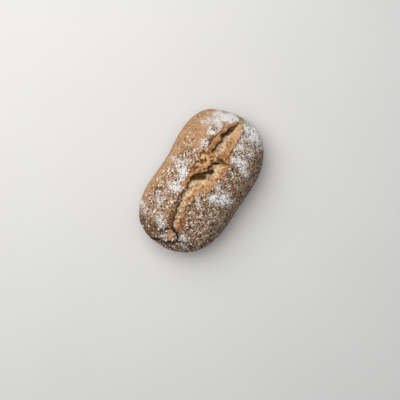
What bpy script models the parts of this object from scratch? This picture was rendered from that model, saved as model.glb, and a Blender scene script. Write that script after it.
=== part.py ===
"""Sourdough loaf: one closed solid of a long, round-cornered loaf lying on its flat base.

The long axis is X, the base lies on Z = 0 and the box is centred on the Z axis.
One lengthwise slash has torn open along the top, a flap of torn crust crosses it,
short cracks run over the narrow end and large bran flakes stand out of the crust.
"""
import math
import random

import bmesh
import bpy
from mathutils import Matrix, Vector, noise

# Overall sizes, in millimetres.
LENGTH = 250.0
WIDTH = 150.5
HEIGHT = 88.0
GIRTH_HEIGHT = 37.0
BASE_INSET = 16.0

# Outline seen from above: a superellipse with a few shallow waves (order, size, phase in degrees).
CORNER_POWER = 2.7
CORNER_POWER_CHANGE = 0.3
OUTLINE_WAVES = (
    (1, 0.0022, -161), (2, 0.0119, -89), (3, 0.0091, 149), (4, 0.0185, 173), (5, 0.0059, -56),
    (6, 0.0142, -3),
)

# Dome over the girth: powers of the height's fall across and along the loaf.
DOME_POWER_ACROSS = 2.12
DOME_POWER_ALONG = 2.75
DOME_ROUNDNESS = 0.49

# Net of the crust: cells along, cells beside and inside the slash, and rings down the side.
CELLS_ALONG = 46
CELLS_AT_CRACKS = 12
CELLS_BESIDE_SLASH = 11
CELLS_IN_SLASH = 15
SHEET_REACH = 0.93
RINGS_ABOVE_GIRTH = 3
RINGS_BELOW_GIRTH = 4
CRACKED_END_SHARE = 0.30
RIM_HEIGHTS = (18, 42)

# Slash: its two edges as (distance along, distance across) in millimetres.
LEFT_EDGE = (
    (-97, 7), (-88, 12.5), (-77, 16.5), (-58, 19), (-42, 19), (-29, 20.5), (-13, 23.5), (6, 25), (22, 23),
    (50, 22.3), (66, 20.5), (82, 17.5), (95, 14), (106, 5.5), (114, -1),
)
RIGHT_EDGE = (
    (-97, -5), (-90, -9), (-76, -14), (-66, -10), (-58, -3.5), (-34, -2), (-25, -3), (-15, -11), (-6, -19),
    (2, -20.5), (24, -25), (44, -24.5), (56, -19.5), (72, -15), (95, -14.5), (114, -7),
)
SLASH_START = -97.0
SLASH_END = 116.0
SLASH_FADES = (9.0, 11.0)
SLASH_DEPTHS = (
    (-97, 5), (-80, 7), (-60, 7.5), (-20, 8), (3, 10), (40, 12), (75, 10.5), (92, 10), (104, 6), (113, 4),
)
UPPER_HALF = (-6, 44)
LEAST_SLASH_WIDTH = 9.0
LIP_RISE = 3.2
LIP_SPREAD = 11.0
RIDGE_RISE = 1.6
RIDGE_SPREAD = 7.0

# Torn crust along the left edge and browned ridge along the right one, as (along, width). Both
# widen halfway up, where the torn crust becomes a flap and meets the ridge in a bridge.
TORN_WIDTHS = (
    (-97, 4), (-88, 7), (-72, 7.3), (-56, 6), (-47, 4), (-37, 2), (-27, 3.2), (-16, 6.5), (-5, 4.5), (0, 7),
    (5, 11.6), (12, 18), (18, 21), (24, 19), (34, 25), (41, 36), (45, 12), (54, 10), (62, 10), (71, 11.5),
    (79, 7), (88, 7), (97, 6), (104, 5), (113, 3),
)
RIDGE_WIDTHS = (
    (-97, 3), (-84, 6), (-73, 9), (-62, 4), (-40, 3), (-15, 5), (0, 6.5), (36, 6), (40, 26), (46, 21),
    (56, 12), (64, 8), (80, 8), (88, 12), (100, 9), (113, 4),
)
LEAST_TORN_WIDTH = 1.5
LEAST_RIDGE_WIDTH = 3.0
LEAST_CRUMB_WIDTH = 0.8
TORN_WANDER_WIDTHS = (3, 8)
FLAP_WIDTHS = (9, 18)
BRIDGE_MIDDLE = 46
BRIDGE_SPREAD = (14, 20)
BRIDGE_GAPS = (1, 8)
BRIDGE_DEPTH = 2.0
TORN_DROP = 3.0
TORN_ROLL = 1.6
FLAP_SAG = 1.2
UNDERCUT = 2.4
UNDERCUT_FALL = 0.8
UNDERCUT_SLASH_WIDTHS = (14, 26)
RECESS_WIDTHS = (
    (-97, 2), (-60, 1.6), (-20, 1.8), (-8, 3), (-3, 6.5), (3, 9), (13, 8), (20, 6), (30, 3), (58, 3),
    (71, 2.5), (79, 5.5), (88, 7.5), (96, 8.5), (104, 4.5), (113, 2),
)
WIDEST_RECESS_SHARE = 0.45
CRUMB_HOLLOW = 1.7
RIDGE_STEP = 1.5
RIDGE_HUMP = 1.6

# Shares of the slash's cells up to the ends of torn crust, undercut, recess and crumb.
TORN_SHARE = 4 / 15
UNDERCUT_SHARE = 6 / 15
RECESS_SHARE = 8 / 15
CRUMB_SHARE = 12 / 15
SPREAD_GAIN = 2.5
OUTERMOST_EDGE = 0.9
HALVINGS = 24

# Wander of the torn edges: (wavelength, size) in millimetres, and the noise row each edge follows.
EDGE_WANDER = (10.0, 2.2)
FLAP_WANDER = (7.0, 3.4)
LEFT_ROW = 3
RIGHT_ROW = 9
FLAP_ROW = 6

# Folds of the crumpled flap: length and place of one fold, how far it slants, its wander and height.
FOLD_LENGTH = 11.5
FOLD_START = 22.0
FOLD_SLANT = 0.47
FOLD_WANDER = (9.0, 5.0)
FOLD_HEIGHT = 2.2
FOLD_STEP = 0.18

# Cracks over the narrow end, as (distance along, distance across) in millimetres.
MAIN_CRACK = (
    (-122, 21), (-117, 14), (-117, 4), (-110, -11), (-102, -17), (-102, -23), (-98, -32), (-101, -41),
    (-90, -52), (-74, -59), (-60, -62),
)
SHORT_CRACKS = (((-105, 17), (-99, 14), (-94, 7)), ((-91, 1), (-95, -12), (-100, -18)))
CRACK_DEPTH = 2.8
CRACK_HALF_WIDTH = 3.0
CRACK_FADE = (-60, -36)
LEAST_CRACK = 0.3
CRACK_WANDER = (9.0, 1.5)

# Waves of the crust: (wavelength, height) in millimetres.
BROAD_WAVES = (46.0, 1.5)
SMALL_WAVES = (13.0, 0.45)
CRAGS = (11.0, 2.6)
RECESS_CALM = 0.35

# Bran and oat flakes that stand out of the crust, in millimetres.
FLAKE_COUNT = 124
FLAKE_TRIES = 6000
FLAKE_LENGTHS = (4.2, 6.4)
FLAKE_WIDTH_SHARE = (0.55, 0.85)
FLAKE_THICKNESS = 1.7
FLAKE_LIFT = 0.25
STEEPEST_FLAKE = 0.2
FLAKE_TILT = 14.0
FLAKE_SPACING = 6.4
FLAKE_SIDES = 5
FLAKE_RINGS = ((0.62, -0.5), (1.0, 0.0), (0.62, 0.5))
SEED = 41

# Parts of the crust with fewer flakes or none, as ranges in millimetres over which they fade out.
SMOOTH_END_ALONG = (25, 55)
SMOOTH_END_ACROSS = (20, 30)
SMOOTH_SIDE_ACROSS = (50, 62)
BROWN_CORNER_ALONG = (88, 100)
BROWN_CORNER_ACROSS = (8, 22)
CLEAR_LEFT_OF_SLASH = 3
CLEAR_RIGHT_OF_SLASH = 2
LEFT_SIDE_DENSITY = 0.55

MM = 0.001
HALF_LENGTH = LENGTH / 2
HALF_WIDTH = WIDTH / 2
CRUST_COLOUR = (0.47, 0.27, 0.13, 1.0)
CRUST_ROUGHNESS = 0.82


def ramp(value, start, end):
    """Smooth step from 0 at start to 1 at end."""
    share = min(1.0, max(0.0, (value - start) / (end - start)))
    return share * share * (3 - 2 * share)


def mix(first, second, share):
    """Value between two others."""
    return first + (second - first) * share


def through(knots, x):
    """Smooth curve through knots given as (x, y), level outside them."""
    if x <= knots[0][0]:
        return knots[0][1]
    if x >= knots[-1][0]:
        return knots[-1][1]
    slopes = []
    for index in range(len(knots)):
        before = knots[max(0, index - 1)]
        after = knots[min(len(knots) - 1, index + 1)]
        slopes.append((after[1] - before[1]) / (after[0] - before[0]))
    index = max(i for i in range(len(knots) - 1) if knots[i][0] <= x)
    (x0, y0), (x1, y1) = knots[index], knots[index + 1]
    span = x1 - x0
    t = (x - x0) / span
    start_part = (1 + 2 * t) * (1 - t) ** 2 * y0 + t * (1 - t) ** 2 * span * slopes[index]
    end_part = t * t * (3 - 2 * t) * y1 - t * t * (1 - t) * span * slopes[index + 1]
    return start_part + end_part


def outline_reach(angle):
    """Distance from the centre to the outline at an angle, in units of half the length and width."""
    power = CORNER_POWER + CORNER_POWER_CHANGE * math.sin(angle)
    squared = abs(math.cos(angle)) ** power + abs(math.sin(angle)) ** power
    waves = sum(size * math.cos(order * angle - math.radians(phase)) for order, size, phase in OUTLINE_WAVES)
    return squared ** (-1 / power) * (1 + waves)


def dome_power(angle):
    """Power of the dome's fall towards an angle."""
    return mix(DOME_POWER_ACROSS, DOME_POWER_ALONG, math.cos(angle) ** 2)


def at_reach(angle, reach, height):
    """Point at a share of the way out to the outline, at a height."""
    square = 1 + (outline_reach(angle) - 1) * reach * reach
    x = HALF_LENGTH * reach * square * math.cos(angle)
    y = HALF_WIDTH * reach * square * math.sin(angle)
    return Vector((x, y, height))


def dome_point(a, b):
    """Point of the smooth upper crust: a runs along the loaf and b across it, each from -1 to 1."""
    disc_x = a * math.sqrt(1 - b * b / 2)
    disc_y = b * math.sqrt(1 - a * a / 2)
    reach = SHEET_REACH * min(1.0, math.hypot(disc_x, disc_y))
    angle = math.atan2(disc_y, disc_x)
    height = (1 - reach ** dome_power(angle)) ** DOME_ROUNDNESS
    return at_reach(angle, reach, mix(GIRTH_HEIGHT, HEIGHT, height))


def side_point(angle, ring):
    """Point of the crust's side: ring 0 closes the upper sheet and the last ring lies on the base."""
    power = dome_power(angle)
    top_height = (1 - SHEET_REACH ** power) ** DOME_ROUNDNESS
    if ring <= RINGS_ABOVE_GIRTH:
        height = top_height * (1 - ring / RINGS_ABOVE_GIRTH)
        reach = (1 - height ** (1 / DOME_ROUNDNESS)) ** (1 / power)
        return at_reach(angle, reach, mix(GIRTH_HEIGHT, HEIGHT, height))
    turn = (ring - RINGS_ABOVE_GIRTH) / RINGS_BELOW_GIRTH * math.pi / 2
    rim = at_reach(angle, 1.0, GIRTH_HEIGHT * (1 - math.sin(turn)))
    inward = Vector((rim.x, rim.y, 0)).normalized()
    return rim - inward * BASE_INSET * (1 - math.cos(turn))


def slash_open(x):
    """How far the slash has opened at a distance along the loaf, from 0 to 1."""
    opening, closing = SLASH_FADES
    return ramp(x, SLASH_START, SLASH_START + opening) * (1 - ramp(x, SLASH_END - closing, SLASH_END))


def slash_edges(x):
    """Left and right edges of the slash across the loaf, kept at least a little apart."""
    wavelength, size = EDGE_WANDER
    left = through(LEFT_EDGE, x) + noise.noise((x / wavelength, LEFT_ROW, 0)) * size * slash_open(x)
    right = through(RIGHT_EDGE, x) + noise.noise((x / wavelength, RIGHT_ROW, 0)) * size * slash_open(x)
    spread = max(0.0, LEAST_SLASH_WIDTH - (left - right)) / 2
    return left + spread, right - spread


def edge_share(a, left_side):
    """Share b across the net at which the dome crosses an edge of the slash."""
    low, high = -OUTERMOST_EDGE, OUTERMOST_EDGE
    for _ in range(HALVINGS):
        b = (low + high) / 2
        point = dome_point(a, b)
        edge = slash_edges(point.x)[0 if left_side else 1]
        if point.y < edge:
            low = b
        else:
            high = b
    return (low + high) / 2


def slash_widths(x, width):
    """Widths of torn crust, recess and ridge, and how far the slash is bridged, from 0 to 1."""
    torn = through(TORN_WIDTHS, x)
    wander = noise.noise((x / FLAP_WANDER[0], FLAP_ROW, 0)) * FLAP_WANDER[1]
    torn += wander * ramp(torn, *TORN_WANDER_WIDTHS) * slash_open(x)
    ridge = through(RIDGE_WIDTHS, x)
    bridged = 1 - ramp(width - ridge - torn, *BRIDGE_GAPS)
    bridged *= 1 - ramp(abs(x - BRIDGE_MIDDLE), *BRIDGE_SPREAD)
    recess = min(through(RECESS_WIDTHS, x), WIDEST_RECESS_SHARE * width)
    room = width - recess - LEAST_CRUMB_WIDTH
    torn = max(LEAST_TORN_WIDTH, min(torn, room - LEAST_RIDGE_WIDTH))
    return torn, recess, min(ridge, room - torn), bridged


def slash_knots(x, width):
    """Across the slash: share of the cells, distance from the left edge and height over the dome."""
    torn, recess, ridge, bridged = slash_widths(x, width)
    flap = ramp(torn, *FLAP_WIDTHS)
    depth = mix(through(SLASH_DEPTHS, x), BRIDGE_DEPTH, bridged)
    drop = min(depth / 2, mix(TORN_DROP, FLAP_SAG, max(flap, 1 - ramp(x, *UPPER_HALF))))
    undercut = UNDERCUT * ramp(width, *UNDERCUT_SLASH_WIDTHS)
    return (
        (0, 0, LIP_RISE),
        (TORN_SHARE, torn, -drop),
        (UNDERCUT_SHARE, mix(torn - undercut, torn + recess / 2, bridged), mix(-drop, -depth, UNDERCUT_FALL)),
        (RECESS_SHARE, torn + recess, -depth),
        (CRUMB_SHARE, width - ridge, -RIDGE_STEP),
        (1, width, RIDGE_RISE),
    )


def slash_profile(share, x):
    """Distance from the left edge and height over the dome, evenly spread where the slash is shut."""
    left, right = slash_edges(x)
    width = left - right
    knots = slash_knots(x, width)
    index = 0
    while index < len(knots) - 2 and share > knots[index + 1][0]:
        index += 1
    (share0, offset0, rise0), (share1, offset1, rise1) = knots[index], knots[index + 1]
    part = (share - share0) / (share1 - share0)
    rise = mix(rise0, rise1, part)
    if share <= TORN_SHARE:
        rise += TORN_ROLL * ramp(x, *UPPER_HALF) * 4 * part * (1 - part)
    elif share > CRUMB_SHARE:
        rise += RIDGE_HUMP * 4 * part * (1 - part)
    elif share > RECESS_SHARE:
        rise = rise1 - (rise1 - rise0) * (1 - part) ** CRUMB_HOLLOW
    opened = slash_open(x)
    return mix(width * share, mix(offset0, offset1, part), min(1.0, SPREAD_GAIN * opened)), rise * opened


def beside_slash(point):
    """Rise of the crust next to the slash."""
    left, right = slash_edges(point.x)
    opened = slash_open(point.x)
    if point.y > left:
        return LIP_RISE * opened * math.exp(-(point.y - left) / LIP_SPREAD)
    return RIDGE_RISE * opened * math.exp(-(right - point.y) / RIDGE_SPREAD)


def distance_to_path(path, x, y):
    """Distance from a place seen from above to a path of straight pieces."""
    nearest = LENGTH
    for (x0, y0), (x1, y1) in zip(path, path[1:]):
        run = Vector((x1 - x0, y1 - y0))
        away = Vector((x - x0, y - y0))
        share = min(1.0, max(0.0, away.dot(run) / run.length_squared))
        nearest = min(nearest, (away - run * share).length)
    return nearest


def crack_depth(point):
    """Depth of the cracks over the narrow end at a point."""
    wander = noise.noise(point / CRACK_WANDER[0]) * CRACK_WANDER[1]
    nearest = min(distance_to_path(path, point.x + wander, point.y) for path in (MAIN_CRACK, *SHORT_CRACKS))
    depth = CRACK_DEPTH * mix(LEAST_CRACK, 1, ramp(point.y, *CRACK_FADE))
    return depth * max(0.0, 1 - nearest / CRACK_HALF_WIDTH)


def crust_waves(point):
    """Height of the crust's broad and small waves at a point."""
    broad = noise.noise(point / BROAD_WAVES[0]) * BROAD_WAVES[1]
    return broad + noise.noise(point / SMALL_WAVES[0]) * SMALL_WAVES[1]


def crags(point, share):
    """Height of the torn crust's crags at a point inside the slash, least in the soft recess."""
    rough = ramp(share, RECESS_SHARE, 1) + 1 - ramp(share, TORN_SHARE, UNDERCUT_SHARE)
    return noise.noise(point / CRAGS[0]) * CRAGS[1] * mix(RECESS_CALM, 1, min(1.0, rough))


def folds(point):
    """Height of the crumpled flap's folds, each a step up followed by a slow fall."""
    wander = noise.noise(point / FOLD_WANDER[0]) * FOLD_WANDER[1]
    part = (point.x + FOLD_SLANT * point.y + wander - FOLD_START) / FOLD_LENGTH % 1
    return FOLD_HEIGHT * ramp(part, 0, FOLD_STEP) * (1 - part)


def flap_share(point, share):
    """How far a point inside the slash belongs to the flap or the bridge, from 0 to 1."""
    left, right = slash_edges(point.x)
    torn, _, _, bridged = slash_widths(point.x, left - right)
    if share <= TORN_SHARE:
        return ramp(torn, *FLAP_WIDTHS)
    return bridged


def net_shares():
    """Shares a along the net, closest together at the cracked end."""
    start = -1 + CRACKED_END_SHARE
    cracked = [mix(-1, start, i / CELLS_AT_CRACKS) for i in range(CELLS_AT_CRACKS)]
    return cracked + [mix(start, 1, i / CELLS_ALONG) for i in range(CELLS_ALONG + 1)]


def across_shares(a):
    """Shares b across the net, so that its rows follow the slash's two edges."""
    right = edge_share(a, False)
    left = edge_share(a, True)
    shares = [mix(-1, right, j / CELLS_BESIDE_SLASH) for j in range(CELLS_BESIDE_SLASH)]
    shares += [mix(right, left, j / CELLS_IN_SLASH) for j in range(CELLS_IN_SLASH)]
    return shares + [mix(left, 1, j / CELLS_BESIDE_SLASH) for j in range(CELLS_BESIDE_SLASH + 1)]


def add_sheet(body):
    """Upper crust as columns of vertices, joined by faces."""
    sheet = []
    for a in net_shares():
        sheet.append([body.verts.new(dome_point(a, b)) for b in across_shares(a)])
    for column, following in zip(sheet, sheet[1:]):
        for j in range(len(column) - 1):
            body.faces.new((column[j], following[j], following[j + 1], column[j + 1]))
    return sheet


def add_side(body, sheet):
    """Rings from the upper crust's rim down to the base, and the level base between them."""
    rim = [column[0] for column in sheet[:-1]] + sheet[-1][:-1]
    rim += [column[-1] for column in reversed(sheet[1:])] + list(reversed(sheet[0][1:]))
    angles = [math.atan2(vertex.co.y / HALF_WIDTH, vertex.co.x / HALF_LENGTH) for vertex in rim]
    upper = rim
    for ring in range(1, RINGS_ABOVE_GIRTH + RINGS_BELOW_GIRTH + 1):
        lower = [body.verts.new(side_point(angle, ring)) for angle in angles]
        for k in range(len(rim)):
            following = (k + 1) % len(rim)
            body.faces.new((upper[following], upper[k], lower[k], lower[following]))
        upper = lower
    body.faces.new(list(reversed(upper)))
    return set(upper)


def raise_crust(body, sheet, base_ring):
    """Move the smooth dome's vertices to the waves, cracks and slash of the baked crust."""
    slash_share = {}
    for column in sheet:
        for j in range(CELLS_IN_SLASH + 1):
            slash_share[column[CELLS_BESIDE_SLASH + j]] = 1 - j / CELLS_IN_SLASH
    body.normal_update()
    normals = {vertex: vertex.normal.copy() for vertex in body.verts if vertex not in base_ring}
    for vertex, normal in normals.items():
        point = vertex.co.copy()
        height = crust_waves(point) * ramp(point.z, 0, GIRTH_HEIGHT / 2)
        if vertex in slash_share:
            share = slash_share[vertex]
            offset, rise = slash_profile(share, point.x)
            point.y = slash_edges(point.x)[0] - offset
            torn = crags(point, share) + folds(point) * flap_share(point, share)
            height += rise + torn * slash_open(point.x) - crack_depth(point)
        else:
            height += (beside_slash(point) - crack_depth(point)) * ramp(point.z, *RIM_HEIGHTS)
        vertex.co = point + normal * height


def build_loaf():
    """Closed body of the loaf: upper crust, side and level base."""
    mesh = bpy.data.meshes.new("loaf")
    body = bmesh.new()
    sheet = add_sheet(body)
    base_ring = add_side(body, sheet)
    raise_crust(body, sheet, base_ring)
    centre_box(body, base_ring)
    for face in body.faces:
        face.smooth = len(face.verts) == 4
    body.to_mesh(mesh)
    body.free()
    loaf = bpy.data.objects.new("loaf", mesh)
    bpy.context.scene.collection.objects.link(loaf)
    return loaf


def centre_box(body, base_ring):
    """Fit the body to the overall sizes, centred on the Z axis, with the base kept level."""
    low = Vector([min(vertex.co[axis] for vertex in body.verts) for axis in range(3)])
    high = Vector([max(vertex.co[axis] for vertex in body.verts) for axis in range(3)])
    sizes = (LENGTH, WIDTH, HEIGHT)
    for vertex in body.verts:
        for axis in range(2):
            middle = (low[axis] + high[axis]) / 2
            vertex.co[axis] = (vertex.co[axis] - middle) * sizes[axis] / (high[axis] - low[axis]) * MM
        if vertex in base_ring:
            vertex.co.z = 0
        else:
            vertex.co.z = vertex.co.z * sizes[2] / high.z * MM


def flake_density(x, y):
    """Share of the places seen from above that carry large flakes."""
    shape_x = x / HALF_LENGTH
    shape_y = y / HALF_WIDTH
    if math.hypot(shape_x, shape_y) > outline_reach(math.atan2(shape_y, shape_x)):
        return 0.0
    left, right = slash_edges(x)
    if right - CLEAR_RIGHT_OF_SLASH < y < left + CLEAR_LEFT_OF_SLASH:
        return 0.0
    if y < right:
        return 1.0
    smooth_end = ramp(x, *SMOOTH_END_ALONG) * ramp(y, *SMOOTH_END_ACROSS)
    smooth_side = ramp(y, *SMOOTH_SIDE_ACROSS)
    brown_corner = ramp(-x, *BROWN_CORNER_ALONG) * ramp(y, *BROWN_CORNER_ACROSS)
    return LEFT_SIDE_DENSITY * (1 - max(smooth_end, smooth_side, brown_corner))


def flake_mesh(length, width, thickness):
    """Thin, many-sided flake with bevelled faces."""
    mesh = bpy.data.meshes.new("flake")
    flake = bmesh.new()
    rings = []
    for share, height in FLAKE_RINGS:
        ring = []
        for side in range(FLAKE_SIDES):
            angle = math.tau * side / FLAKE_SIDES
            x = length / 2 * share * math.cos(angle)
            y = width / 2 * share * math.sin(angle)
            ring.append(flake.verts.new((x, y, height * thickness)))
        rings.append(ring)
    for lower, upper in zip(rings, rings[1:]):
        for side in range(FLAKE_SIDES):
            n = (side + 1) % FLAKE_SIDES
            flake.faces.new((lower[side], lower[n], upper[n], upper[side]))
    flake.faces.new(list(reversed(rings[0])))
    flake.faces.new(rings[-1])
    flake.to_mesh(mesh)
    flake.free()
    return mesh


def flake_places():
    """Seeded draw of large flakes, the largest first: place from above, length, width, turn and tilt."""
    draw = random.Random(SEED)
    lengths = sorted((draw.uniform(*FLAKE_LENGTHS) for _ in range(FLAKE_COUNT)), reverse=True)
    places = []
    for _ in range(FLAKE_TRIES):
        if len(places) == FLAKE_COUNT:
            break
        x = draw.uniform(-HALF_LENGTH, HALF_LENGTH)
        y = draw.uniform(-HALF_WIDTH, HALF_WIDTH)
        kept = draw.random() < flake_density(x, y)
        if not kept or any(math.hypot(x - place[0], y - place[1]) < FLAKE_SPACING for place in places):
            continue
        length = lengths[len(places)]
        width = length * draw.uniform(*FLAKE_WIDTH_SHARE)
        places.append((x, y, length, width, draw.uniform(0, math.tau), draw.uniform(-FLAKE_TILT, FLAKE_TILT)))
    return places


def add_flakes(loaf):
    """Flakes dropped onto the crust and fused to the loaf."""
    collection = bpy.data.collections.new("flakes")
    bpy.context.scene.collection.children.link(collection)
    above = Vector((0, 0, 2 * HEIGHT))
    for x, y, length, width, turn, tilt in flake_places():
        hit, place, normal, _ = loaf.ray_cast((Vector((x, y, 0)) + above) * MM, Vector((0, 0, -1)))
        if not hit or normal.z < STEEPEST_FLAKE:
            continue
        flake = bpy.data.objects.new("flake", flake_mesh(length * MM, width * MM, FLAKE_THICKNESS * MM))
        lie = normal.to_track_quat("Z", "Y").to_matrix() @ Matrix.Rotation(math.radians(tilt), 3, "X")
        lie = lie @ Matrix.Rotation(turn, 3, "Z")
        place = place + normal * FLAKE_LIFT * MM
        flake.matrix_world = Matrix.Translation(place) @ lie.to_4x4()
        collection.objects.link(flake)
    union = loaf.modifiers.new("flakes", "BOOLEAN")
    union.operation = "UNION"
    union.operand_type = "COLLECTION"
    union.collection = collection
    union.solver = "EXACT"
    bpy.context.view_layer.update()
    bpy.context.view_layer.objects.active = loaf
    bpy.ops.object.modifier_apply(modifier=union.name)
    for flake in list(collection.objects):
        bpy.data.objects.remove(flake)
    bpy.data.collections.remove(collection)


def drop_scraps(loaf):
    """Keep the largest closed body and drop flakes that only lie on the crust."""
    body = bmesh.new()
    body.from_mesh(loaf.data)
    islands = []
    unseen = set(body.verts)
    while unseen:
        island = {unseen.pop()}
        front = list(island)
        while front:
            for edge in front.pop().link_edges:
                for vertex in edge.verts:
                    if vertex in unseen:
                        unseen.discard(vertex)
                        island.add(vertex)
                        front.append(vertex)
        islands.append(island)
    islands.sort(key=len)
    for island in islands[:-1]:
        bmesh.ops.delete(body, geom=list(island), context="VERTS")
    body.to_mesh(loaf.data)
    body.free()


def paint(loaf):
    """Baked crust material."""
    material = bpy.data.materials.new("crust")
    material.use_nodes = True
    shader = material.node_tree.nodes["Principled BSDF"]
    shader.inputs["Base Color"].default_value = CRUST_COLOUR
    shader.inputs["Roughness"].default_value = CRUST_ROUGHNESS
    shader.inputs["Metallic"].default_value = 0.0
    loaf.data.materials.clear()
    loaf.data.materials.append(material)


for old in list(bpy.data.objects):
    bpy.data.objects.remove(old)
loaf_body = build_loaf()
add_flakes(loaf_body)
drop_scraps(loaf_body)
paint(loaf_body)
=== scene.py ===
"""Looks of the sourdough loaf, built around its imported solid.

Sizes are in millimetres unless a name says otherwise. X runs along the loaf, away from
its cracked end, Y across it towards the slash's high lip, and the base lies on Z = 0.
"""
import math
import random
from itertools import product

import bpy
import numpy as np
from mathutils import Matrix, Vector, noise
from mathutils.bvhtree import BVHTree


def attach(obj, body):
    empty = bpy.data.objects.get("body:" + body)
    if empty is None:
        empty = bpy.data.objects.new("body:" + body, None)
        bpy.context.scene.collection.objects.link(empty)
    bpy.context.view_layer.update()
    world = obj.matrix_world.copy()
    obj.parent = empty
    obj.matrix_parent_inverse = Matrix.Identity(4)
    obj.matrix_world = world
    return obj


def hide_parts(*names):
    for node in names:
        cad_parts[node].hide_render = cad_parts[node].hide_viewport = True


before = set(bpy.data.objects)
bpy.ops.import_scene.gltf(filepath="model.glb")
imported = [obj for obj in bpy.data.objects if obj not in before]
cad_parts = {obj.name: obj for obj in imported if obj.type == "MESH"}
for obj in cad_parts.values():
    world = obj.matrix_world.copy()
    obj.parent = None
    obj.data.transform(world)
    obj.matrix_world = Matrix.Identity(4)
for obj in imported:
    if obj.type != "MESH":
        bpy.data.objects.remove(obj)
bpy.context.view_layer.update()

MM = 0.001
SEED = 41

# Overall sizes of the crust, a little inside the solid so that flakes stay within its box.
LENGTH = 248.4
WIDTH = 149.0
HEIGHT = 87.3
GIRTH_HEIGHT = 37.0
BASE_INSET = 16.0
HALF_LENGTH = 125.0
HALF_WIDTH = 75.25
DOME_HEIGHT = 88.0

# Outline seen from above: a superellipse with shallow waves (order, size, phase in degrees).
CORNER_POWER = 2.7
CORNER_POWER_CHANGE = 0.3
OUTLINE_WAVES = (
    (1, 0.0022, -161), (2, 0.0119, -89), (3, 0.0091, 149), (4, 0.0185, 173), (5, 0.0059, -56),
    (6, 0.0142, -3),
)

# Dome over the girth.
DOME_POWER_ACROSS = 2.12
DOME_POWER_ALONG = 2.75
DOME_ROUNDNESS = 0.49

# Net of the crust.
CELLS_ALONG = 228
CELLS_AT_CRACKS = 72
CELLS_BESIDE_SLASH = 60
CELLS_IN_SLASH = 75
SHEET_REACH = 0.93
RINGS_ABOVE_GIRTH = 11
RINGS_BELOW_GIRTH = 18
CRACKED_END_SHARE = 0.30
RIM_HEIGHTS = (18, 42)

# Slash: edges as (along, across), how far it opens, and its torn profile.
LEFT_EDGE = (
    (-97, 7), (-88, 12.5), (-77, 16.5), (-58, 19), (-42, 19), (-29, 20.5), (-13, 23.5), (6, 25), (22, 23),
    (50, 22.3), (66, 20.5), (82, 17.5), (95, 14), (106, 5.5), (114, -1),
)
RIGHT_EDGE = (
    (-97, -5), (-90, -9), (-76, -14), (-66, -10), (-58, -3.5), (-34, -2), (-25, -3), (-15, -11), (-6, -19),
    (2, -20.5), (24, -25), (44, -24.5), (56, -19.5), (72, -15), (95, -14.5), (114, -7),
)
SLASH_START = -97.0
SLASH_END = 116.0
SLASH_FADES = (9.0, 11.0)
SLASH_DEPTHS = (
    (-97, 5), (-80, 7), (-60, 7.5), (-20, 8), (3, 10), (40, 12), (75, 10.5), (92, 10), (104, 6), (113, 4),
)
UPPER_HALF = (-6, 44)
LEAST_SLASH_WIDTH = 9.0
LIP_RISE = 3.2
LIP_SPREAD = 11.0
RIDGE_RISE = 1.6
RIDGE_SPREAD = 7.0

# Torn crust along the left edge and browned ridge along the right one, as (along, width). Both
# widen halfway up, where the torn crust becomes a flap and meets the ridge in a bridge.
TORN_WIDTHS = (
    (-97, 4), (-88, 7), (-72, 7.3), (-56, 6), (-47, 4), (-37, 2), (-27, 3.2), (-16, 6.5), (-5, 4.5), (0, 7),
    (5, 11.6), (12, 18), (18, 21), (24, 19), (34, 25), (40, 28), (42, 22), (45, 12), (54, 10), (62, 10),
    (71, 11.5), (76, 5.5), (82, 5), (88, 7), (95, 5.5), (100, 3.5), (106, 2.5), (113, 1.5),
)
RIDGE_WIDTHS = (
    (-97, 3), (-84, 6), (-73, 9), (-62, 4), (-40, 3), (-15, 5), (0, 6.5), (36, 6), (40, 26), (46, 21),
    (56, 12), (64, 8), (80, 8), (88, 12), (100, 9), (113, 4),
)
LEAST_TORN_WIDTH = 1.5
LEAST_RIDGE_WIDTH = 3.0
LEAST_CRUMB_WIDTH = 0.8
TORN_WANDER_WIDTHS = (3, 8)
FLAP_WIDTHS = (9, 18)
BRIDGE_MIDDLE = 46
BRIDGE_SPREAD = (14, 20)
BRIDGE_GAPS = (1, 8)
BRIDGE_DEPTH = 2.0
TORN_DROP = 3.0
TORN_ROLL = 1.6
FLAP_SAG = 1.2
UNDERCUT = 2.4
UNDERCUT_FALL = 0.8
UNDERCUT_SLASH_WIDTHS = (14, 26)
RECESS_WIDTHS = (
    (-97, 2), (-60, 1.6), (-20, 1.8), (-8, 3), (-3, 6.5), (3, 9), (13, 8), (20, 6), (30, 3), (58, 3),
    (71, 2.5), (79, 5.5), (88, 7.5), (96, 8.5), (104, 4.5), (113, 2),
)
WIDEST_RECESS_SHARE = 0.45
CRUMB_HOLLOW = 1.7
RIDGE_STEP = 1.5
RIDGE_HUMP = 1.6

# Shares of the slash's cells up to the ends of torn crust, undercut, recess and crumb.
TORN_SHARE = 4 / 15
UNDERCUT_SHARE = 6 / 15
RECESS_SHARE = 8 / 15
CRUMB_SHARE = 12 / 15
SPREAD_GAIN = 2.5
OUTERMOST_EDGE = 0.9
HALVINGS = 24

# Wander of the torn edges: (wavelength, size) in millimetres, and the noise row each edge follows.
EDGE_WANDER = (10.0, 2.2)
FLAP_WANDER = (7.0, 3.4)
EDGE_FRAY = (3.1, 1.0)
FRAY_DEPTH = 5
LEFT_ROW = 3
RIGHT_ROW = 9
FLAP_ROW = 6

# Folds of the crumpled flap: length and place of one fold, how far it slants, its wander and height.
# Breaks are a wavelength and the noise from which and up to which a crease shows.
FOLD_LENGTH = 11.5
FOLD_START = 22.0
FOLD_SLANT = 0.47
FOLD_WANDER = (9.0, 5.0)
FOLD_RIPPLE = (3.2, 2.6)
FOLD_HEIGHT = 2.3
FOLD_STEP = 0.14
# Painted shade under each fold: its half width as a share of a fold, its breaks and its darkness.
CREASE_SHARE = 0.12
CREASE_BREAKS = (9.0, -0.05, 0.2)
CREASE_DARKNESS = 0.8
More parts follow.
